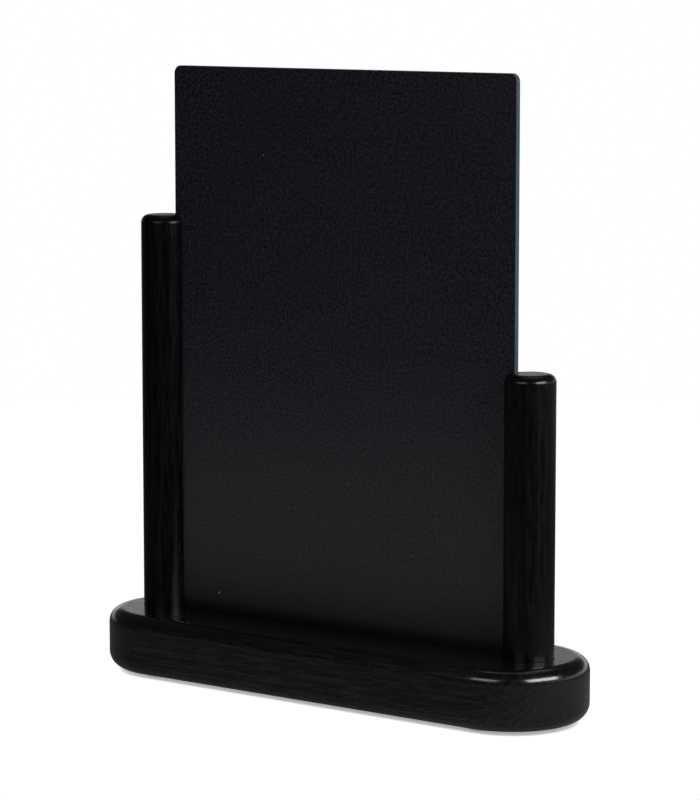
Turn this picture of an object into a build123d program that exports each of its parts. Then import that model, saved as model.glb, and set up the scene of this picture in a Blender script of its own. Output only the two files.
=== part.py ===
from build123d import *
import os

# Table-top menu chalkboard: a thin black board stands upright in the slots of two round posts and in
# a groove along a stadium-shaped wooden base. Millimetres, +Z up, front towards -Y.
# The origin is on the table, at the middle of the base.

# --- Board: a standard A4 sheet, 3 mm thick ---
board_width = 210.0
board_height = 297.0
board_thickness = 3.0
board_corner_radius = 4.0
board_arris = 0.3

# --- Base ---
base_width = 77.0
base_thickness = 31.0
base_top_round = 7.0
base_bottom_round = 8.5
base_end_margin = 15.7       # wood beyond each post, to the end of the base
groove_depth = 16.5          # the board's foot and the post sockets go this deep
mouth_chamfer = 0.4          # breaks the edge of the groove and of the sockets
chamfer_angle = 45

# --- Posts: turned dowels ---
post_diameter = 25.0
tall_post_height = 204.0     # above the top of the base
short_post_height = 138.0
post_top_round = 4.0
post_foot_chamfer = 1.0
slot_depth = 6.2             # from the post's inner side towards its axis
slot_lip_round = 0.5

# --- Clearances ---
board_face_clearance = 0.25  # each side of the board, in the slots and the groove
board_end_clearance = 1.5    # between each board edge and the bottom of its slot
glue_gap = 0.1               # round each post in its socket

# --- Post screws: one countersunk 4.5 x 40 wood screw up into each post ---
screw_length = 40.0
thread_diameter = 4.5
core_diameter = 3.0
thread_pitch = 2.2
thread_turns = 11
tip_length = 4.5
tip_flat_radius = 0.2
head_diameter = 9.0
head_cone_angle = 90
recess_span = 5.0
recess_wing = 1.2
recess_depth = 2.4
recess_taper = 12.0
access_bore_diameter = 10.5
access_bore_depth = 5.0
screw_clearance = 0.25
pilot_end_gap = 1.0

# --- Foot pads: stick-on rubber discs ---
pad_diameter = 12.0
pad_thickness = 1.5
pad_edge_round = 0.5
pad_margin = 4.0             # flat underside left outside each pad

# --- Worked out from the values above ---
post_radius = post_diameter / 2
post_x = board_width / 2 + board_end_clearance + post_radius - slot_depth
base_length = 2 * (post_x + post_radius + base_end_margin)
slot_width = board_thickness + 2 * board_face_clearance
base_bottom_z = pad_thickness
base_top_z = base_bottom_z + base_thickness
groove_floor_z = base_top_z - groove_depth
head_z = base_bottom_z + access_bore_depth

os.makedirs("parts", exist_ok=True)


def save(piece, name):
    """Label a finished piece and write its STEP file."""
    piece.part.label = name
    export_step(piece.part, f"parts/{name}.step")


def sketch_groove_and_sockets(margin):
    """Plan outline of the board's groove and both post sockets, grown by a margin."""
    Rectangle(2 * post_x, slot_width + 2 * margin)
    with Locations((-post_x, 0), (post_x, 0)):
        Circle(post_radius + glue_gap + margin)


# --- Base: one thick board with a stadium outline, grooved and bored from above ---
with BuildPart() as base:
    with BuildSketch(Plane.XY.offset(base_bottom_z)):
        SlotOverall(base_length, base_width)
    extrude(amount=base_thickness)
    fillet(base.faces().sort_by(Axis.Z)[-1].edges(), radius=base_top_round)
    fillet(base.faces().sort_by(Axis.Z)[0].edges(), radius=base_bottom_round)

    with BuildSketch(Plane.XY.offset(groove_floor_z)):
        sketch_groove_and_sockets(0)
    extrude(amount=groove_depth, mode=Mode.SUBTRACT)
    with BuildSketch(Plane.XY.offset(base_top_z)):
        sketch_groove_and_sockets(mouth_chamfer)
    extrude(amount=-mouth_chamfer, taper=chamfer_angle, mode=Mode.SUBTRACT)

    # Each post's screw comes up from beneath: an access bore, then a countersunk clearance hole.
    underside = Plane(origin=(0, 0, base_bottom_z), z_dir=(0, 0, -1))
    with Locations(underside):
        with Locations((-post_x, 0), (post_x, 0)):
            Hole(radius=access_bore_diameter / 2, depth=access_bore_depth)
    with Locations(underside.offset(-access_bore_depth)):
        with Locations((-post_x, 0), (post_x, 0)):
            CounterSinkHole(
                radius=thread_diameter / 2 + screw_clearance,
                counter_sink_radius=head_diameter / 2,
                depth=base_thickness - groove_depth - access_bore_depth,
                counter_sink_angle=head_cone_angle,
            )
save(base, "base")


# --- Posts: rounded at the top, slotted on the side that faces the board ---
def make_post(name, centre_x, height):
    inward = -1 if centre_x > 0 else 1
    top_z = base_top_z + height
    slot_floor_x = centre_x + inward * (post_radius - slot_depth)
    slot_align = (Align.MIN if inward > 0 else Align.MAX, Align.CENTER)
    with BuildPart() as post:
        with BuildSketch(Plane.XY.offset(groove_floor_z)):
            with Locations((centre_x, 0)):
                Circle(post_radius)
        extrude(amount=top_z - groove_floor_z)
        fillet(post.edges().sort_by(Axis.Z)[-1], radius=post_top_round)
        chamfer(post.edges().sort_by(Axis.Z)[0], length=post_foot_chamfer)

        with BuildSketch(Plane.XY.offset(groove_floor_z)):
            with Locations((slot_floor_x, 0)):
                Rectangle(post_radius, slot_width, align=slot_align)
        extrude(amount=top_z - groove_floor_z, mode=Mode.SUBTRACT)
        slot_walls = post.faces().filter_by(Axis.Y)
        slot_floor = post.faces().filter_by(Axis.X)
        foot_top_z = groove_floor_z + post_foot_chamfer
        lips = (slot_walls.edges() - slot_floor.edges()) + slot_floor.edges().filter_by(Axis.Y)
        fillet(lips.filter_by_position(Axis.Z, foot_top_z, top_z, (False, True)), radius=slot_lip_round)

        with Locations(Plane(origin=(centre_x, 0, groove_floor_z), z_dir=(0, 0, -1))):
            Hole(radius=core_diameter / 2, depth=head_z + screw_length + pilot_end_gap - groove_floor_z)
    save(post, name)


make_post("tall_post", -post_x, tall_post_height)
make_post("short_post", post_x, short_post_height)


# --- Board: rounded corners, a fine arris all round both faces ---
with BuildPart() as board:
    with BuildSketch(Plane.XZ.offset(-board_thickness / 2)):
        with Locations((0, groove_floor_z + board_height / 2)):
            RectangleRounded(board_width, board_height, board_corner_radius)
    extrude(amount=board_thickness)
    chamfer(board.faces().filter_by(Axis.Y).edges(), length=board_arris)
save(board, "chalkboard")


# --- Post screws: cross-recessed head down in its bore, thread biting up into the post ---
def make_post_screw(name, centre_x):
    head_radius = head_diameter / 2
    core_radius = core_diameter / 2
    thread_radius = thread_diameter / 2
    neck_height = head_radius - core_radius
    tip_start = screw_length - tip_length
    thread_start = tip_start - thread_turns * thread_pitch
    outline = [(0, 0), (head_radius, 0), (core_radius, neck_height), (core_radius, thread_start)]
    for turn in range(thread_turns):
        crest = thread_start + (turn + 0.5) * thread_pitch
        outline += [(thread_radius, crest), (core_radius, crest + thread_pitch / 2)]
    outline += [(tip_flat_radius, screw_length), (0, screw_length)]
    with BuildPart() as screw:
        with BuildSketch(Plane.XZ.shift_origin((centre_x, 0, head_z))):
            with BuildLine():
                Polyline(outline, close=True)
            make_face()
        revolve(axis=Axis((centre_x, 0, head_z), (0, 0, 1)))
        with BuildSketch(Plane.XY.offset(head_z)):
            with Locations((centre_x, 0)):
                Rectangle(recess_span, recess_wing)
                Rectangle(recess_wing, recess_span)
        extrude(amount=recess_depth, taper=recess_taper, mode=Mode.SUBTRACT)
    save(screw, name)


make_post_screw("tall_post_screw", -post_x)
make_post_screw("short_post_screw", post_x)


# --- Foot pads: one near each end of both long sides, on the flat of the underside ---
pad_x = post_x - post_radius
pad_y = base_width / 2 - base_bottom_round - pad_margin - pad_diameter / 2
for side, y in (("front", -pad_y), ("back", pad_y)):
    for end, x in (("left", -pad_x), ("right", pad_x)):
        with BuildPart() as pad:
            with BuildSketch():
                with Locations((x, y)):
                    Circle(pad_diameter / 2)
            extrude(amount=pad_thickness)
            fillet(pad.edges().sort_by(Axis.Z)[0], radius=pad_edge_round)
        save(pad, f"foot_pad_{side}_{end}")
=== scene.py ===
# %% [markdown]
# # A table-top menu chalkboard
# A thin black board stands in the slots of two round posts and in a groove along a thick wooden base.
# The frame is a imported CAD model, and this lesson gives it its looks: the camera and the light first,
# then the finishes, then the small pieces that are worth building by hand.
#
# Everything is in metres. The origin is on the table under the middle of the base, +Z is up, and the
# reader stands at -Y.

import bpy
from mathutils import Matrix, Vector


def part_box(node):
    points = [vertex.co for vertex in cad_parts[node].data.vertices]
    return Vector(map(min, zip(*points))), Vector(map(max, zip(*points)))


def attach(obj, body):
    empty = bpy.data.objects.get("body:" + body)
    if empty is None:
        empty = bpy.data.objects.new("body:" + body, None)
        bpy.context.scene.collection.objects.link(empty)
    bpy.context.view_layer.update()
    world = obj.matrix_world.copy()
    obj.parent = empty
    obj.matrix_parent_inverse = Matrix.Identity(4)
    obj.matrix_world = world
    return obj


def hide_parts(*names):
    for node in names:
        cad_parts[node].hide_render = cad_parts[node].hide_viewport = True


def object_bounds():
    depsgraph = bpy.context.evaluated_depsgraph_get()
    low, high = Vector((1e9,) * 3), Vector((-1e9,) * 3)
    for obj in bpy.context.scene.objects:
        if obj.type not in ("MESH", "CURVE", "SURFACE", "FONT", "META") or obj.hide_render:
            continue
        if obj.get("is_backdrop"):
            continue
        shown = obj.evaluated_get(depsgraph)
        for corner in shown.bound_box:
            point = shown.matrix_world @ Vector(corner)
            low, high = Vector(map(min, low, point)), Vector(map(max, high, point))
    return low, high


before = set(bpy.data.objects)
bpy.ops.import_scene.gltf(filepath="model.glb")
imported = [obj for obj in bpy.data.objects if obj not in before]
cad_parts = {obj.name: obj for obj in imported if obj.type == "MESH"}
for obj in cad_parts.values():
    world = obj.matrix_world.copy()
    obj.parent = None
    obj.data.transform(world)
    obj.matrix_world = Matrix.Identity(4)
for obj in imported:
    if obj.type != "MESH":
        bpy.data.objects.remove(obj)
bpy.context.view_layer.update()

# %% The other modules
import math

import bmesh
import bpy
from mathutils import Vector

MM = 0.001

# %% [markdown]
# ## The camera
# A long lens stands well back, a little above the top of the board and round to the right, so the
# verticals stay almost parallel. Azimuth 0 looks straight at the front, and a positive azimuth goes
# round towards +X. The camera is aimed at a point inside the object, so that it turns about that
# point when it is moved, and the lens is chosen last, to fill the frame.

# %% Camera
camera_azimuth = math.radians(36.55)
camera_elevation = math.radians(7.59)
camera_distance = 1.645
camera_lens = 148.6
aim_height = 0.1489
aim_right = 0.0045

camera_back = Vector((
    math.sin(camera_azimuth) * math.cos(camera_elevation),
    -math.cos(camera_azimuth) * math.cos(camera_elevation),
    math.sin(camera_elevation),
))
camera_right = Vector((math.cos(camera_azimuth), math.sin(camera_azimuth), 0))
aim = Vector((0, 0, aim_height)) + camera_right * aim_right

camera = bpy.data.objects.new("camera", bpy.data.cameras.new("camera"))
camera.data.lens = camera_lens
camera.location = aim + camera_back * camera_distance
camera.rotation_euler = (-camera_back).to_track_quat("-Z", "Y").to_euler()
bpy.context.collection.objects.link(camera)
bpy.context.scene.camera = camera
print("camera at", [round(v, 3) for v in camera.location])

# %% [markdown]
# ## Node helpers
# Every finish below is a small graph of nodes. A few helpers keep the graphs short: one adds a node
# with its inputs, two do arithmetic, one stretches a range of values onto another, one mixes two
# colours, and one starts a material.

# %% Node helpers
def add_node(tree, kind, inputs=None, **settings):
    """Adds a node, sets its options, and sets or links each named input."""
    node = tree.nodes.new(kind)
    for name, value in settings.items():
        setattr(node, name, value)
    for name, value in (inputs or {}).items():
        if isinstance(value, bpy.types.NodeSocket):
            tree.links.new(value, node.inputs[name])
        else:
            node.inputs[name].default_value = value
    return node


def calculate(tree, operation, *values, clamp=False):
    """One Math node; returns its output socket."""
    node = add_node(tree, "ShaderNodeMath", dict(enumerate(values)), operation=operation, use_clamp=clamp)
    return node.outputs[0]


def vector_math(tree, operation, *values, output=0, **named):
    """One Vector Math node; returns an output socket."""
    inputs = {**dict(enumerate(values)), **named}
    return add_node(tree, "ShaderNodeVectorMath", inputs, operation=operation).outputs[output]


def remap(tree, value, low, high, to_low=0.0, to_high=1.0):
    """Stretches low..high onto to_low..to_high and clamps it."""
    inputs = {"Value": value, "From Min": low, "From Max": high, "To Min": to_low, "To Max": to_high}
    return add_node(tree, "ShaderNodeMapRange", inputs).outputs[0]


def blend_colour(tree, factor, first, second):
    """Mixes two colours by a factor."""
    inputs = {0: factor, 6: first, 7: second}
    return add_node(tree, "ShaderNodeMix", inputs, data_type="RGBA").outputs[2]


def new_material(name):
    """A material with an empty graph; returns it, its node tree and its Principled shader."""
    material = bpy.data.materials.new(name)
    material.use_nodes = True
    tree = material.node_tree
    shader = tree.nodes["Principled BSDF"]
    return material, tree, shader


# %% [markdown]
# ## The studio
# A product like this is shot on a white sweep, with the room behind the camera left dark so that the
# black lacquer stays black. The floor is a pale disc that fades into a white surround, so no horizon
# shows. It glows by itself, and what it sends out depends on who asks: the camera sees white paper,
# a matt surface gets the light that paper would throw on it, and lacquer mirrors much less, because
# a polarising filter on the lens takes most of that glare away. A brighter pool on the right lights
# the foot of the short post. Ambient occlusion, which is dark where something stands close above,
# gives all three the same thin shadow of contact. From beneath the disc is clear, so that the
# underside of the base can be looked at.

# %% Floor
floor_radius = 1.2
fade_start, fade_end = 0.5, 1.15
contact_shadow = 0.003
seen_paper = 1.1
thrown_near, thrown_far = 1.8, 0.1
mirrored_near, mirrored_far = 0.064, 0.03
pool_middle, pool_radius, pool_light = (0.27, 0.03, 0.0), 0.24, 0.15
cool_white = (0.96, 0.96, 1.0, 1)

bpy.ops.mesh.primitive_circle_add(vertices=96, radius=floor_radius, fill_type="NGON")
floor = bpy.context.object
floor.name = "studio_floor"
floor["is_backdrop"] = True

material, tree, shader = new_material("studio_floor")
tree.nodes.remove(shader)
place = add_node(tree, "ShaderNodeTexCoord").outputs["Object"]
reach = vector_math(tree, "LENGTH", place, output="Value")
from_pool = vector_math(tree, "DISTANCE", place, pool_middle, output="Value")
pool = remap(tree, from_pool, pool_radius, 0.0, 0.0, pool_light)
mirrored = calculate(tree, "ADD", remap(tree, reach, 0.35, 0.9, mirrored_near, mirrored_far), pool)
thrown = remap(tree, reach, 0.18, 0.5, thrown_near, thrown_far)
ray = add_node(tree, "ShaderNodeLightPath")
for_lacquer_or_matt = {0: ray.outputs["Is Diffuse Ray"], 2: mirrored, 3: thrown}
level = add_node(tree, "ShaderNodeMix", for_lacquer_or_matt).outputs[0]
for_them_or_camera = {0: ray.outputs["Is Camera Ray"], 2: level, 3: seen_paper}
level = add_node(tree, "ShaderNodeMix", for_them_or_camera).outputs[0]
shadow = add_node(tree, "ShaderNodeAmbientOcclusion", {"Distance": contact_shadow}, samples=8)
level = calculate(tree, "MULTIPLY", level, remap(tree, shadow.outputs["AO"], 0.0, 0.65))
paper = add_node(tree, "ShaderNodeEmission", {"Color": cool_white, "Strength": level})
see_through = add_node(tree, "ShaderNodeBsdfTransparent")
beneath = add_node(tree, "ShaderNodeNewGeometry").outputs["Backfacing"]
fade = calculate(tree, "MAXIMUM", remap(tree, reach, fade_start, fade_end), beneath)
faded = add_node(tree, "ShaderNodeMixShader", {0: fade, 1: paper.outputs[0], 2: see_through.outputs[0]})
tree.links.new(faded.outputs[0], tree.nodes["Material Output"].inputs["Surface"])
floor.data.materials.append(material)
print("floor disc", 2 * floor_radius, "m across")

# %% [markdown]
# The surround is white to the camera and nearly black to everything else, with one exception: a low
# band behind the object, where the sweep curves up. Only surfaces that are seen at a glancing angle
# mirror it, so it draws the pale tops of the posts and the pale line along the far rim of the base.

# %% Surround
band_light, room_light = 1.05, 0.03
world = bpy.data.worlds.new("studio")
bpy.context.scene.world = world
world.use_nodes = True
tree = world.node_tree
seen = tree.nodes["Background"]
seen.inputs["Color"].default_value = (1, 1, 1, 1)
seen.inputs["Strength"].default_value = 1.0
direction = add_node(tree, "ShaderNodeTexCoord").outputs["Generated"]
split = add_node(tree, "ShaderNodeSeparateXYZ", {0: direction})
behind = remap(tree, split.outputs["Y"], -0.05, 0.6)
below_top = remap(tree, split.outputs["Z"], 0.235, 0.10)
above_table = remap(tree, split.outputs["Z"], 0.0, 0.12, 0.1, 1.0)
sweep = calculate(tree, "MULTIPLY", behind, calculate(tree, "MULTIPLY", below_top, above_table))
level = calculate(tree, "MULTIPLY_ADD", sweep, band_light, room_light)
lit = add_node(tree, "ShaderNodeBackground", {"Color": cool_white, "Strength": level})
for_camera = add_node(tree, "ShaderNodeLightPath").outputs["Is Camera Ray"]
mix = add_node(tree, "ShaderNodeMixShader", {0: for_camera, 1: lit.outputs[0], 2: seen.outputs[0]})
tree.links.new(mix.outputs[0], tree.nodes["World Output"].inputs["Surface"])
print("surround:", len(tree.nodes), "nodes")

# %% [markdown]
# Two wide soft boxes stand either side of the camera, a little above it. Each draws one bright dash
# on the rounded edge of the base and on the top of the short post. The sharp ends of the two dashes
# face each other, and the dark gap between them is the gap where the camera stands. A weak one hangs
# overhead. The last one lights the back of the object. It is hidden from reflections, because it
# would put glints on the rims that face the camera.

# %% Soft boxes
def soft_box(name, azimuth, elevation, distance, width, height, watts):
    """A rectangular area light aimed at the middle of the object."""
    light = bpy.data.lights.new(name, "AREA")
    light.shape = "RECTANGLE"
    light.size, light.size_y = width, height
    light.energy = watts
    a, e = math.radians(azimuth), math.radians(elevation)
    back = Vector((math.sin(a) * math.cos(e), -math.cos(a) * math.cos(e), math.sin(e)))
    holder = bpy.data.objects.new(name, light)
    holder.location = aim + back * distance
    holder.rotation_euler = (-back).to_track_quat("-Z", "Y").to_euler()
    bpy.context.collection.objects.link(holder)
    print(name, watts, "W")
    return holder


soft_box("right_soft_box", azimuth=84, elevation=20, distance=1.5, width=1.2, height=0.45, watts=15)
soft_box("left_soft_box", azimuth=-2, elevation=20, distance=1.6, width=1.1, height=0.4, watts=3.3)
soft_box("overhead_soft_box", azimuth=200, elevation=72, distance=1.6, width=1.2, height=1.2, watts=1.5)
back_fill = soft_box("back_fill", azimuth=180, elevation=12, distance=1.6, width=1.2, height=0.5, watts=20)
back_fill.visible_glossy = False

# %% [markdown]
# ## Grain
# Wood is a solid texture: rings round a line called the pith, crossed by fine fibres and short open
# pores that all run along the trunk. A painted picture of wood wraps badly round an edge, so the
# group below works from the place inside the wood instead, and the end of the base shows arcs where
# its long sides show stripes. Its input is a position whose X runs along the grain, measured from
# the pith. It is a group because the base and both posts are cut from different boards.

# %% Node group tools
def new_group(name, inputs, outputs):
    """An empty shader node group; inputs are (name, socket kind, default) and outputs (name, kind)."""
    group = bpy.data.node_groups.new(name, "ShaderNodeTree")
    for label, kind, default in inputs:
        socket = group.interface.new_socket(name=label, in_out="INPUT", socket_type=kind)
        if default is not None:
            socket.default_value = default
    for label, kind in outputs:
        group.interface.new_socket(name=label, in_out="OUTPUT", socket_type=kind)
    return group, group.nodes.new("NodeGroupInput"), group.nodes.new("NodeGroupOutput")


def use_group(tree, group, inputs):
    """Places a group in a material with its own values."""
    node = tree.nodes.new("ShaderNodeGroup")
    node.node_tree = group
    for name, value in inputs.items():
        if isinstance(value, bpy.types.NodeSocket):
            tree.links.new(value, node.inputs[name])
        else:
            node.inputs[name].default_value = value
    return node


def noise(tree, vector, detail=2.0, roughness=0.5):
    """Smooth noise, 0 to 1, about one blob per unit."""
    inputs = {"Vector": vector, "Scale": 1.0, "Detail": detail, "Roughness": roughness}
    return add_node(tree, "ShaderNodeTexNoise", inputs).outputs[0]


FLOAT, VECTOR = "NodeSocketFloat", "NodeSocketVector"

# %% Wood grain group
wood_grain, given, result = new_group(
    "wood grain",
    [("Position", VECTOR, None), ("Ring Spacing", FLOAT, 0.003), ("Wander", FLOAT, 0.004)],
    [("Tone", FLOAT), ("Pores", FLOAT), ("Height", FLOAT)],
)
tree = wood_grain
place = given.outputs["Position"]

# The rings wander: a slow noise pushes every point sideways before its distance is taken.
slow_place = vector_math(tree, "MULTIPLY", place, (4, 18, 18))
slow = add_node(tree, "ShaderNodeTexNoise", {"Vector": slow_place, "Scale": 1.0, "Detail": 2.0})
drift = vector_math(tree, "SUBTRACT", slow.outputs["Color"], (0.5, 0.5, 0.5))
push = vector_math(tree, "SCALE", drift, Scale=given.outputs["Wander"])
moved = vector_math(tree, "ADD", place, push)
across = vector_math(tree, "MULTIPLY", moved, (0, 1, 1))
from_pith = vector_math(tree, "LENGTH", across, output="Value")
rings = calculate(tree, "DIVIDE", from_pith, given.outputs["Ring Spacing"])
ring = calculate(tree, "POWER", calculate(tree, "FRACT", rings), 2.5)

# Fibres are long and under a millimetre wide; pores are shorter, sparser and open.
fibres = noise(tree, vector_math(tree, "MULTIPLY", moved, (60, 900, 900)), 3.0, 0.6)
flecks = noise(tree, vector_math(tree, "MULTIPLY", moved, (25, 330, 330)), 2.0)
pore_cells = noise(tree, vector_math(tree, "MULTIPLY", moved, (160, 2600, 2600)), 1.0)
pores = remap(tree, pore_cells, 0.60, 0.72)

tone = calculate(tree, "MULTIPLY_ADD", ring, 0.22, calculate(tree, "MULTIPLY", flecks, 0.25))
tone = calculate(tree, "MULTIPLY_ADD", remap(tree, fibres, 0.32, 0.68), 0.6, tone, clamp=True)
height = calculate(tree, "MULTIPLY_ADD", pores, -0.6, calculate(tree, "MULTIPLY", tone, 0.6))
for value, name in ((tone, "Tone"), (pores, "Pores"), (height, "Height")):
    tree.links.new(value, result.inputs[name])
print("wood grain group:", len(tree.nodes), "nodes")

# %% [markdown]
# ## Worn edges
# Stain and lacquer are thinnest on an outside edge, and hands polish it. Cycles can find the edge
# without any extra geometry: a Bevel node gives the normal that a small rounding would have, and
# where it differs from the real one there is an edge. Noise breaks the line up so that it looks
# rubbed and not drawn.

# %% Edge wear group
edge_wear, given, result = new_group(
    "edge wear",
    [
        ("Position", VECTOR, None),
        ("Radius", FLOAT, 0.001),
        ("Patch Size", FLOAT, 0.015),
        ("Amount", FLOAT, 0.5),
    ],
    [("Mask", FLOAT)],
)
tree = edge_wear
rounded = add_node(tree, "ShaderNodeBevel", {"Radius": given.outputs["Radius"]}, samples=6)
real = add_node(tree, "ShaderNodeNewGeometry").outputs["Normal"]
agree = vector_math(tree, "DOT_PRODUCT", rounded.outputs[0], real, output="Value")
edge = remap(tree, agree, 0.995, 0.90)
density = calculate(tree, "DIVIDE", 1.0, given.outputs["Patch Size"])
patches = noise(tree, vector_math(tree, "SCALE", given.outputs["Position"], Scale=density), 3.0, 0.6)
rubbed = calculate(tree, "MULTIPLY", edge, remap(tree, patches, 0.45, 0.62))
mask = calculate(tree, "MULTIPLY", rubbed, given.outputs["Amount"], clamp=True)
tree.links.new(mask, result.inputs["Mask"])
print("edge wear group:", len(tree.nodes), "nodes")

# %% [markdown]
# ## Dust
# Nothing shows dust like black. A few single specks lie anywhere, and a thin film settles on what
# faces up. The specks are small round spots, one in some of the cells of a Voronoi pattern; a random
# value per cell decides whether it holds one and how big it is.

# %% Dust group
dust, given, result = new_group(
    "dust",
    [
        ("Position", VECTOR, None),
        ("Cell Size", FLOAT, 0.006),
        ("Share", FLOAT, 0.1),
        ("Speck Size", FLOAT, 0.1),
        ("Film", FLOAT, 0.1),
    ],
    [("Specks", FLOAT), ("Film", FLOAT)],
)
tree = dust
density = calculate(tree, "DIVIDE", 1.0, given.outputs["Cell Size"])
scaled = vector_math(tree, "SCALE", given.outputs["Position"], Scale=density)
cells = add_node(tree, "ShaderNodeTexVoronoi", {"Vector": scaled, "Scale": 1.0})
chance = add_node(tree, "ShaderNodeSeparateColor", {0: cells.outputs["Color"]})
size = calculate(tree, "MULTIPLY", chance.outputs[1], given.outputs["Speck Size"])
spot = calculate(tree, "LESS_THAN", cells.outputs["Distance"], size)
chosen = calculate(tree, "LESS_THAN", chance.outputs[0], given.outputs["Share"])
specks = calculate(tree, "MULTIPLY", spot, chosen)
normal = add_node(tree, "ShaderNodeNewGeometry").outputs["Normal"]
up = add_node(tree, "ShaderNodeSeparateXYZ", {0: normal}).outputs["Z"]
patches = noise(tree, vector_math(tree, "MULTIPLY", given.outputs["Position"], (90, 90, 90)), 4.0, 0.7)
film = calculate(tree, "MULTIPLY", remap(tree, up, 0.3, 1.0), remap(tree, patches, 0.35, 0.75))
film = calculate(tree, "MULTIPLY", film, given.outputs["Film"])
tree.links.new(specks, result.inputs["Specks"])
tree.links.new(film, result.inputs["Film"])
print("dust group:", len(tree.nodes), "nodes")

# %% [markdown]
# ## Black-stained wood
# The base and the posts are stained black and sprayed with satin lacquer. The stain leaves the grain
# just visible, as a slightly warmer and lighter streak. The lacquer is a clear coat over it. It has
# sunk into the pores and lies thinner on the soft pale wood, so the grain shows in the gloss and the
# bump as much as in the colour. The base has a full coat, and the turned posts have a thinner one.

# %% Stained wood
deep_stain = (0.0003, 0.0002, 0.0004, 1)
rubbed_through = (0.020, 0.015, 0.012, 1)
dust_grey = (0.012, 0.012, 0.012, 1)
speck_grey = (0.08, 0.08, 0.08, 1)
least_shine, most_shine = 0.15, 0.5


def stained_wood(name, along, pith, lacquer, relief, smoothest, dullest, streak, end_grain):
    """Black-stained wood; along is the axis that the grain follows, pith a point on the pith."""
    material, tree, shader = new_material(name)
    shader.inputs["Specular IOR Level"].default_value = least_shine + (most_shine - least_shine) * lacquer
    shader.inputs["Coat Roughness"].default_value = smoothest
    place = add_node(tree, "ShaderNodeTexCoord").outputs["Object"]
    normal = add_node(tree, "ShaderNodeNewGeometry").outputs["Normal"]
    cut = vector_math(tree, "SUBTRACT", place, pith)
    if along == "Z":
        split = add_node(tree, "ShaderNodeSeparateXYZ", {0: cut})
        turned = {0: split.outputs["Z"], 1: split.outputs["X"], 2: split.outputs["Y"]}
        cut = add_node(tree, "ShaderNodeCombineXYZ", turned).outputs[0]
    grain = use_group(tree, wood_grain, {"Position": cut, "Ring Spacing": 0.0032, "Wander": 0.010})
    wear = use_group(tree, edge_wear, {"Position": place, "Radius": 0.0012, "Amount": 0.5})
    lint = use_group(tree, dust, {"Position": place, "Cell Size": 0.009, "Speck Size": 0.025, "Film": 0.1})

    streaks = (streak, streak * 0.88, streak * 0.95, 1)
    pale = remap(tree, grain.outputs["Tone"], 0.3, 0.85)
    stain = blend_colour(tree, pale, deep_stain, streaks)
    stain = blend_colour(tree, wear.outputs["Mask"], stain, rubbed_through)
    stain = blend_colour(tree, lint.outputs["Film"], stain, dust_grey)
    stain = blend_colour(tree, lint.outputs["Specks"], stain, speck_grey)
    tree.links.new(stain, shader.inputs["Base Color"])

    facing_end = add_node(tree, "ShaderNodeSeparateXYZ", {0: normal}).outputs[along]
    open_ends = remap(tree, calculate(tree, "ABSOLUTE", facing_end), 0.15, 0.6, 0.0, end_grain)
    gloss = remap(tree, grain.outputs["Tone"], 0.2, 0.9, smoothest, dullest)
    gloss = calculate(tree, "MULTIPLY_ADD", grain.outputs["Pores"], 0.12, gloss)
    gloss = calculate(tree, "ADD", gloss, open_ends)
    gloss = calculate(tree, "MULTIPLY_ADD", lint.outputs["Film"], 0.3, gloss, clamp=True)
    tree.links.new(gloss, shader.inputs["Roughness"])

    thick = remap(tree, grain.outputs["Tone"], 0.2, 0.9, lacquer, lacquer * 0.45)
    thick = calculate(tree, "MULTIPLY_ADD", grain.outputs["Pores"], -0.4 * lacquer, thick, clamp=True)
    tree.links.new(thick, shader.inputs["Coat Weight"])

    bump = {"Strength": relief, "Distance": 0.0001, "Height": grain.outputs["Height"]}
    tree.links.new(add_node(tree, "ShaderNodeBump", bump).outputs[0], shader.inputs["Normal"])
    return material


# %% [markdown]
# ## Board
# The board is a dense black sheet, the same on both faces: smooth, but with enough tooth to take
# chalk. The tooth is a very fine bump, and wiping leaves faint cloudy strokes of chalk behind, with a
# few specks. Towards the bottom the face turns greyer, lighter and a little warmer. The strip just
# above the base is painted near black as shade, where the board meets the base. The cut edges are
# polished and have a cool, slightly blue sheen. The face is told from the edge by its normal, so one
# material serves the whole sheet.

# %% Board finish
groove_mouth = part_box("base")[1].z
# Painted shade: the board is painted near black just above the groove mouth, fading out 7 mm up.
foot_shade_from, foot_shade_to = groove_mouth + 0.5 * MM, groove_mouth + 7 * MM
# From 0.21 m down to 0.07 m the face turns greyer and lighter.
greying_top, greying_bottom = 0.21, 0.07
slate_deep, slate_pale = (0.0002, 0.0002, 0.0030, 1), (0.0200, 0.0208, 0.0300, 1)
chalk_grey = (0.02, 0.02, 0.021, 1)
# A lighter, warmer grey for the lower part of the face.
low_grey = (0.030, 0.0255, 0.025, 1)
# Colour of the painted shade at the board's foot.
painted_foot_shade = (0.001, 0.0008, 0.001, 1)
lint_white = (0.30, 0.30, 0.29, 1)
cut_edge = (0.066, 0.105, 0.132, 1)
edge_roughness = 0.16


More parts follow.
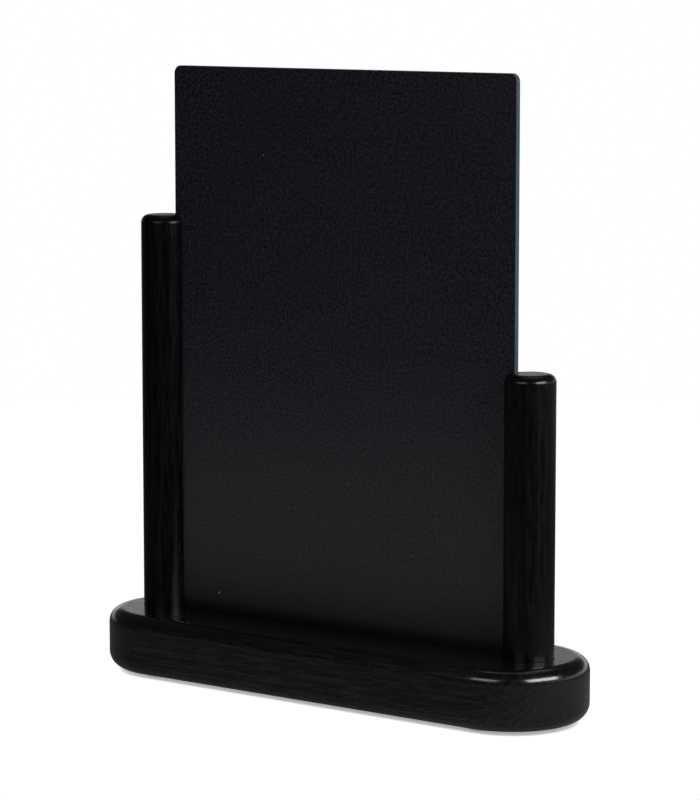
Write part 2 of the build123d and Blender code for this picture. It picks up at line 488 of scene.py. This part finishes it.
def board_finish(name):
    """Matt black writing faces and polished edges, in one material."""
    material, tree, shader = new_material(name)
    shader.inputs["Specular IOR Level"].default_value = 0.3
    place = add_node(tree, "ShaderNodeTexCoord").outputs["Object"]
    normal = add_node(tree, "ShaderNodeNewGeometry").outputs["Normal"]
    facing = add_node(tree, "ShaderNodeSeparateXYZ", {0: normal}).outputs["Y"]
    face = remap(tree, calculate(tree, "ABSOLUTE", facing), 0.80, 0.90)
    tooth = noise(tree, vector_math(tree, "MULTIPLY", place, (2600, 1, 2600)), 3.0, 0.7)
    mottle = noise(tree, vector_math(tree, "MULTIPLY", place, (760, 1, 760)), 2.0, 0.75)
    wipes = noise(tree, vector_math(tree, "MULTIPLY", place, (16, 1, 42)), 4.0, 0.6)
    lint = use_group(tree, dust, {"Position": place, "Cell Size": 0.016, "Share": 0.24, "Speck Size": 0.04})
    up = add_node(tree, "ShaderNodeSeparateXYZ", {0: place}).outputs["Z"]

    chalk = calculate(tree, "MULTIPLY", remap(tree, wipes, 0.45, 0.8), remap(tree, tooth, 0.35, 0.75))
    # Greyer, lighter and warmer towards the bottom, broken up by the mottle.
    span = {"Value": up, "From Min": greying_top, "From Max": greying_bottom}
    drift = add_node(tree, "ShaderNodeMapRange", span, interpolation_type="SMOOTHSTEP")
    drift = calculate(tree, "MULTIPLY", drift.outputs[0], remap(tree, mottle, 0.25, 0.6, 0.75, 1.1))
    # Mask of the painted foot shade: 0 at the base, 1 from 7 mm up. The greying also stops below it.
    above_foot_shade = remap(tree, up, foot_shade_from, foot_shade_to)
    drift = calculate(tree, "MULTIPLY", drift, above_foot_shade)
    slate = blend_colour(tree, remap(tree, mottle, 0.40, 0.60), slate_deep, slate_pale)
    colour = blend_colour(tree, calculate(tree, "MULTIPLY", chalk, 0.3), slate, chalk_grey)
    colour = blend_colour(tree, calculate(tree, "MULTIPLY", drift, 0.6), colour, low_grey)
    # Painted shade: the foot of the board is blended to near black above the base.
    colour = blend_colour(tree, above_foot_shade, painted_foot_shade, colour)
    colour = blend_colour(tree, lint.outputs["Specks"], colour, lint_white)
    colour = blend_colour(tree, face, cut_edge, colour)
    tree.links.new(colour, shader.inputs["Base Color"])

    satin = remap(tree, mottle, 0.3, 0.7, 0.34, 0.46)
    satin = calculate(tree, "MULTIPLY_ADD", chalk, 0.12, satin)
    rough = add_node(tree, "ShaderNodeMix", {0: face, 2: edge_roughness, 3: satin}).outputs[0]
    tree.links.new(rough, shader.inputs["Roughness"])
    height = calculate(tree, "MULTIPLY_ADD", mottle, 1.5, tooth)
    relief = {"Strength": calculate(tree, "MULTIPLY", face, 0.3), "Distance": 0.00006, "Height": height}
    tree.links.new(add_node(tree, "ShaderNodeBump", relief).outputs[0], shader.inputs["Normal"])
    return material


# %% [markdown]
# ## Finishes on the CAD pieces
# The base, the posts and the board have the right shape already, so they only need a material. Each
# length of wood gets its own copy of the stain with the pith in another place, so that no two pieces
# show the same rings.

# %% Finishes on the CAD pieces
tall_low, tall_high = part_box("tall_post")
short_low, short_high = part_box("short_post")
base_wood = stained_wood(
    "black_wood_base",
    along="X",
    pith=(0.0, 0.03, -0.05),
    lacquer=1.0,
    relief=0.13,
    smoothest=0.15,
    dullest=0.24,
    streak=0.0095,
    end_grain=0.02,
)
tall_wood = stained_wood(
    "black_wood_tall_post",
    along="Z",
    pith=((tall_low.x + tall_high.x) / 2 - 0.03, 0.02, 0.0),
    lacquer=0.10,
    relief=0.12,
    smoothest=0.23,
    dullest=0.33,
    streak=0.0045,
    end_grain=0.06,
)
short_wood = stained_wood(
    "black_wood_short_post",
    along="Z",
    pith=((short_low.x + short_high.x) / 2 + 0.01, 0.035, 0.3),
    lacquer=0.38,
    relief=0.11,
    smoothest=0.20,
    dullest=0.30,
    streak=0.0048,
    end_grain=0.06,
)
finish = {
    "base": base_wood,
    "tall_post": tall_wood,
    "short_post": short_wood,
    "chalkboard": board_finish("chalkboard_black"),
}
for name, made in finish.items():
    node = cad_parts[name]
    node.data.materials.clear()
    node.data.materials.append(made)
    print(name, "has", made.name)

# %% [markdown]
# ## Screw steel
# A zinc-plated screw is a dull bluish mirror. The plating is fine-grained, so its roughness wanders
# from place to place, and the driver leaves rubbed, brighter metal on the edges of the recess.

# %% Steel finish
def screw_steel(name):
    """Zinc plating: a dull mirror with rubbed edges."""
    material, tree, shader = new_material(name)
    shader.inputs["Metallic"].default_value = 1.0
    place = add_node(tree, "ShaderNodeTexCoord").outputs["Object"]
    clouds = noise(tree, vector_math(tree, "MULTIPLY", place, (700, 700, 700)), 4.0, 0.6)
    scratches = noise(tree, vector_math(tree, "MULTIPLY", place, (9000, 9000, 900)), 2.0)
    rubbing = {"Position": place, "Radius": 0.0003, "Patch Size": 0.002, "Amount": 0.9}
    wear = use_group(tree, edge_wear, rubbing)
    plating = blend_colour(tree, clouds, (0.36, 0.38, 0.42, 1), (0.58, 0.58, 0.56, 1))
    plating = blend_colour(tree, wear.outputs["Mask"], plating, (0.72, 0.71, 0.69, 1))
    tree.links.new(plating, shader.inputs["Base Color"])
    haze = remap(tree, clouds, 0.3, 0.7, 0.24, 0.42)
    haze = calculate(tree, "MULTIPLY_ADD", wear.outputs["Mask"], -0.1, haze)
    tree.links.new(haze, shader.inputs["Roughness"])
    relief = {"Strength": 0.2, "Distance": 0.00002, "Height": scratches}
    tree.links.new(add_node(tree, "ShaderNodeBump", relief).outputs[0], shader.inputs["Normal"])
    return material


steel = screw_steel("screw_steel")
print(steel.name, len(steel.node_tree.nodes), "nodes")

# %% [markdown]
# ## Screws
# Each post is held by one countersunk wood screw that comes up through the base. A lathe shape would
# give rings where the thread should climb, so the skin is made ring by ring with a radius that
# depends on the angle as well: a ridge that is shifted by one pitch per turn is a true helix. The
# same rings carry on over the cone and the flat head, where the cross recess is pressed in.

# %% Skin over rings
def skin_over_rings(name, rings, material, body, cad_node):
    """Bridges rings of points, closes both ends with a point, and puts the piece in the frame."""
    mesh = bmesh.new()
    loops = [[mesh.verts.new(point) for point in ring] for ring in rings]
    for below, above in zip(loops, loops[1:]):
        for i in range(len(below)):
            j = (i + 1) % len(below)
            mesh.faces.new((below[i], below[j], above[j], above[i]))
    for loop, flip in ((loops[0], True), (loops[-1], False)):
        middle = sum((v.co for v in loop), Vector()) / len(loop)
        tip = mesh.verts.new(middle)
        for i in range(len(loop)):
            j = (i + 1) % len(loop)
            mesh.faces.new((loop[j], loop[i], tip) if flip else (loop[i], loop[j], tip))
    bmesh.ops.recalc_face_normals(mesh, faces=mesh.faces)
    data = bpy.data.meshes.new(name)
    mesh.to_mesh(data)
    mesh.free()
    for face in data.polygons:
        face.use_smooth = True
    piece = bpy.data.objects.new(name, data)
    bpy.context.collection.objects.link(piece)
    data.materials.append(material)
    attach(piece, body)
    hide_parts(cad_node)
    print(name, len(data.vertices), "points")
    return piece


def smooth_step(value):
    """0 below 0, 1 above 1, and an S between them."""
    t = min(max(value, 0.0), 1.0)
    return t * t * (3 - 2 * t)


# %% Screw shape
head_radius = 4.5 * MM
head_edge = 0.35 * MM        # height of the straight edge round the head
head_soft = 0.15 * MM        # rounding of that edge
core_radius = 1.5 * MM
thread_radius = 2.24 * MM
thread_pitch = 2.2 * MM
thread_turns = 11
screw_tip = 4.5 * MM
tip_radius = 0.2 * MM
recess_span = 5.0 * MM
recess_wing = 1.2 * MM
recess_depth = 2.4 * MM
steps_round = 64
head_rings, cone_rings, rings_per_turn = 24, 8, 14


def recess_at(x, y):
    """How deep the cross recess is at a point of the head, seen from its middle."""
    long_way, short_way = max(abs(x), abs(y)), min(abs(x), abs(y))
    side = smooth_step((recess_wing / 2 + 0.1 * MM - short_way) / (0.25 * MM))
    end = smooth_step((recess_span / 2 + 0.1 * MM - long_way) / (0.9 * MM))
    return recess_depth * side * end


def thread_at(turn):
    """How far the thread stands out at a place along it, 0 to 1: a sharp ridge, a wide valley."""
    along = turn % 1.0
    return max(0.0, 1.0 - abs(along - 0.5) * 3.6)


# %% Screw rings
def screw_rings(centre, low, high):
    """Rings from the middle of the head, out over its rim, up the cone and the thread to the tip."""
    length = high - low
    tip_start = length - screw_tip
    thread_start = tip_start - thread_turns * thread_pitch
    angles = [2 * math.pi * i / steps_round for i in range(steps_round)]
    rings = []

    def ring(radius, height):
        points = []
        for angle in angles:
            r, h = (f(angle) if callable(f) else f for f in (radius, height))
            points.append((centre.x + r * math.cos(angle), centre.y + r * math.sin(angle), low + h))
        rings.append(points)

    for i in range(1, head_rings + 1):
        r = (head_radius - head_soft) * i / head_rings
        ring(r, lambda a, r=r: recess_at(r * math.cos(a), r * math.sin(a)))
    ring(head_radius - 0.04 * MM, 0.04 * MM)
    ring(head_radius, head_soft)
    ring(head_radius, head_edge)
    neck = head_radius - core_radius
    for i in range(1, cone_rings + 1):
        share = i / cone_rings
        ring(head_radius + (core_radius - head_radius) * share, head_edge + (neck - head_edge) * share)
    rows = int((length - neck) / (thread_pitch / rings_per_turn))
    for i in range(1, rows + 1):
        h = neck + (length - 0.05 * MM - neck) * i / rows
        taper = smooth_step((length - h) / screw_tip)
        run_in = smooth_step((h - thread_start) / thread_pitch) * smooth_step((length - h) / (3 * MM))
        core = tip_radius + (core_radius - tip_radius) * taper

        def radius(angle, h=h, core=core, run_in=run_in):
            turn = (h - thread_start) / thread_pitch - angle / (2 * math.pi)
            return core + (thread_radius - core_radius) * run_in * thread_at(turn)

        ring(radius, h)
    ring(0.1 * MM, length)
    return rings


# %% Two screws
for node in ("tall_post_screw", "short_post_screw"):
    low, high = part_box(node)
    middle = (low + high) / 2
    rings = screw_rings(middle, low.z, high.z)
    skin_over_rings(f"{node}_threaded", rings, steel, "stand", node)

# %% [markdown]
# ## Foot pads
# Four stick-on pads keep the lacquer off the table. Each is moulded soft rubber: a disc with a round
# lower edge, a shallow dish under it and a thin step at the top where the adhesive layer ends. The
# finish is almost matt, with a fine pebble, and it picks up dust faster than anything else.

# %% Pad rubber
def pad_rubber(name):
    """Almost matt black rubber with a fine pebble."""
    material, tree, shader = new_material(name)
    shader.inputs["Specular IOR Level"].default_value = 0.35
    place = add_node(tree, "ShaderNodeTexCoord").outputs["Object"]
    pebble = noise(tree, vector_math(tree, "MULTIPLY", place, (2200, 2200, 2200)), 3.0, 0.7)
    scuffs = use_group(tree, edge_wear, {"Position": place, "Radius": 0.0006, "Patch Size": 0.003})
    lint = use_group(tree, dust, {"Position": place, "Cell Size": 0.0012, "Share": 0.25, "Speck Size": 0.07})
    colour = blend_colour(tree, pebble, (0.006, 0.006, 0.006, 1), (0.016, 0.016, 0.017, 1))
    colour = blend_colour(tree, scuffs.outputs["Mask"], colour, (0.05, 0.05, 0.05, 1))
    colour = blend_colour(tree, lint.outputs["Specks"], colour, (0.2, 0.19, 0.17, 1))
    tree.links.new(colour, shader.inputs["Base Color"])
    tree.links.new(remap(tree, pebble, 0.3, 0.7, 0.62, 0.85), shader.inputs["Roughness"])
    relief = {"Strength": 0.5, "Distance": 0.00008, "Height": pebble}
    tree.links.new(add_node(tree, "ShaderNodeBump", relief).outputs[0], shader.inputs["Normal"])
    return material


rubber = pad_rubber("pad_rubber")
print(rubber.name, len(rubber.node_tree.nodes), "nodes")

# %% Four pads
pad_edge = 0.6 * MM
dish_depth = 0.25 * MM
adhesive = 0.2 * MM
adhesive_step = 0.25 * MM
top_soft = 0.08 * MM
flat_rings, edge_rings = 8, 6


def pad_profile(radius, thickness):
    """(radius, height) from the middle of the underside, round the edge, to the middle of the top."""
    points = []
    for i in range(1, flat_rings + 1):
        r = (radius - pad_edge) * i / flat_rings
        points.append((r, dish_depth * (1 - smooth_step((r - radius * 0.35) / (radius * 0.4)))))
    for i in range(1, edge_rings + 1):
        a = math.radians(90 * i / edge_rings)
        points.append((radius - pad_edge + pad_edge * math.sin(a), pad_edge * (1 - math.cos(a))))
    top = thickness - adhesive
    points += [(radius, top - top_soft), (radius - top_soft, top)]
    points += [(radius - adhesive_step, top), (radius - adhesive_step, thickness)]
    points.append((radius / 3, thickness))
    return points


for side in ("front", "back"):
    for end in ("left", "right"):
        node = f"foot_pad_{side}_{end}"
        low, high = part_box(node)
        middle = (low + high) / 2
        rings = []
        for r, h in pad_profile((high.x - low.x) / 2, high.z - low.z):
            turns = [2 * math.pi * i / steps_round for i in range(steps_round)]
            points = [(middle.x + r * math.cos(t), middle.y + r * math.sin(t), low.z + h) for t in turns]
            rings.append(points)
        skin_over_rings(f"{node}_moulded", rings, rubber, "stand", node)

# %% [markdown]
# ## Finish
# The Standard view transform leaves white paper pure white, where a film-like one would grey it. The
# box round the finished model is worked out last. Looks don't change sizes, so it should be the same
# as the CAD model's.

# %% Finish
bpy.context.scene.view_settings.view_transform = "Standard"
low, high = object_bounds()
